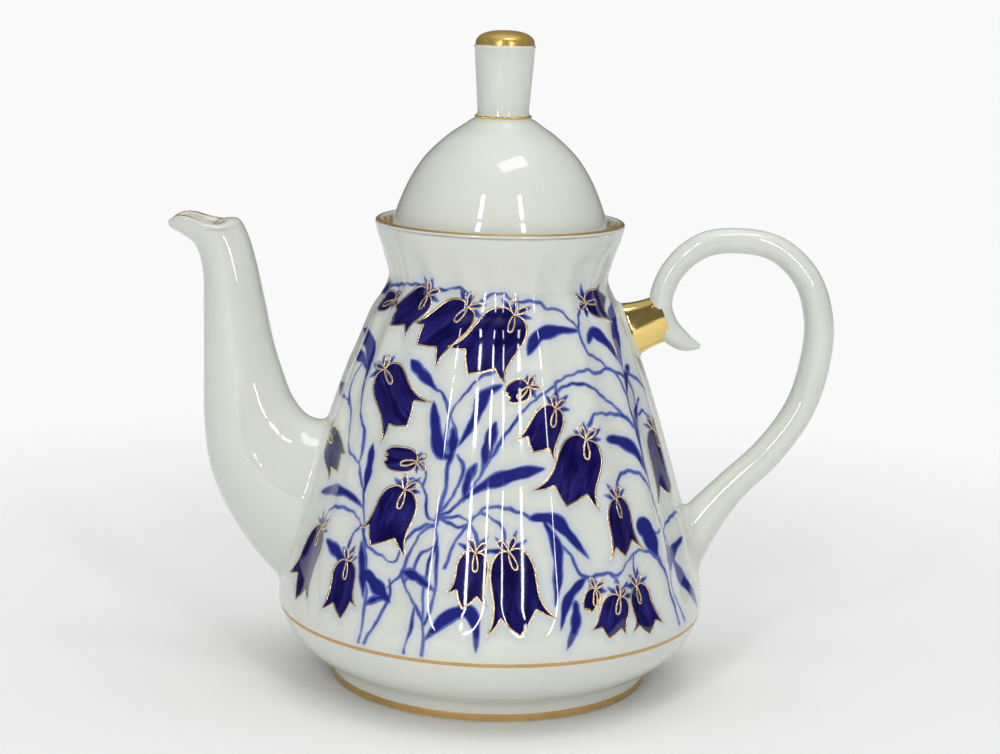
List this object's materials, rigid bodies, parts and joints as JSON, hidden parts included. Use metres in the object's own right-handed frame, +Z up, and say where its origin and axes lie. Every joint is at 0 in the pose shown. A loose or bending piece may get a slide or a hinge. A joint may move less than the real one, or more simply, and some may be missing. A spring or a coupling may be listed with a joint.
{
  "type": "porcelain teapot",
  "caption": "Tall fluted porcelain teapot with an S-shaped spout, a scroll handle on a gilded bridge, bell flower painting and a domed lid that lifts out of a flared neck.",
  "frame": {"origin": "centre of the foot on the table, on the pot's turning axis", "axes": "+Z up through the rim, +X towards the handle, -X towards the spout, -Y is the front"},
  "size_m": [0.1908, 0.1242, 0.1865],
  "materials": {
    "porcelain": "gloss glaze",
    "gilding": "burnished gold lustre over glaze"
  },
  "bodies": {
    "pot": {"pot_body": "porcelain", "spout": "porcelain", "handle": "porcelain", "handle_bridge": "gilding"},
    "lid": {"lid": "porcelain", "lid_knob": "porcelain"}
  },
  "joints": [
    {"name": "lid_lift", "type": "slide", "parent": "pot", "child": "lid", "axis": [0, 0, 1], "range_m": [0, 0.09]}
  ]
}
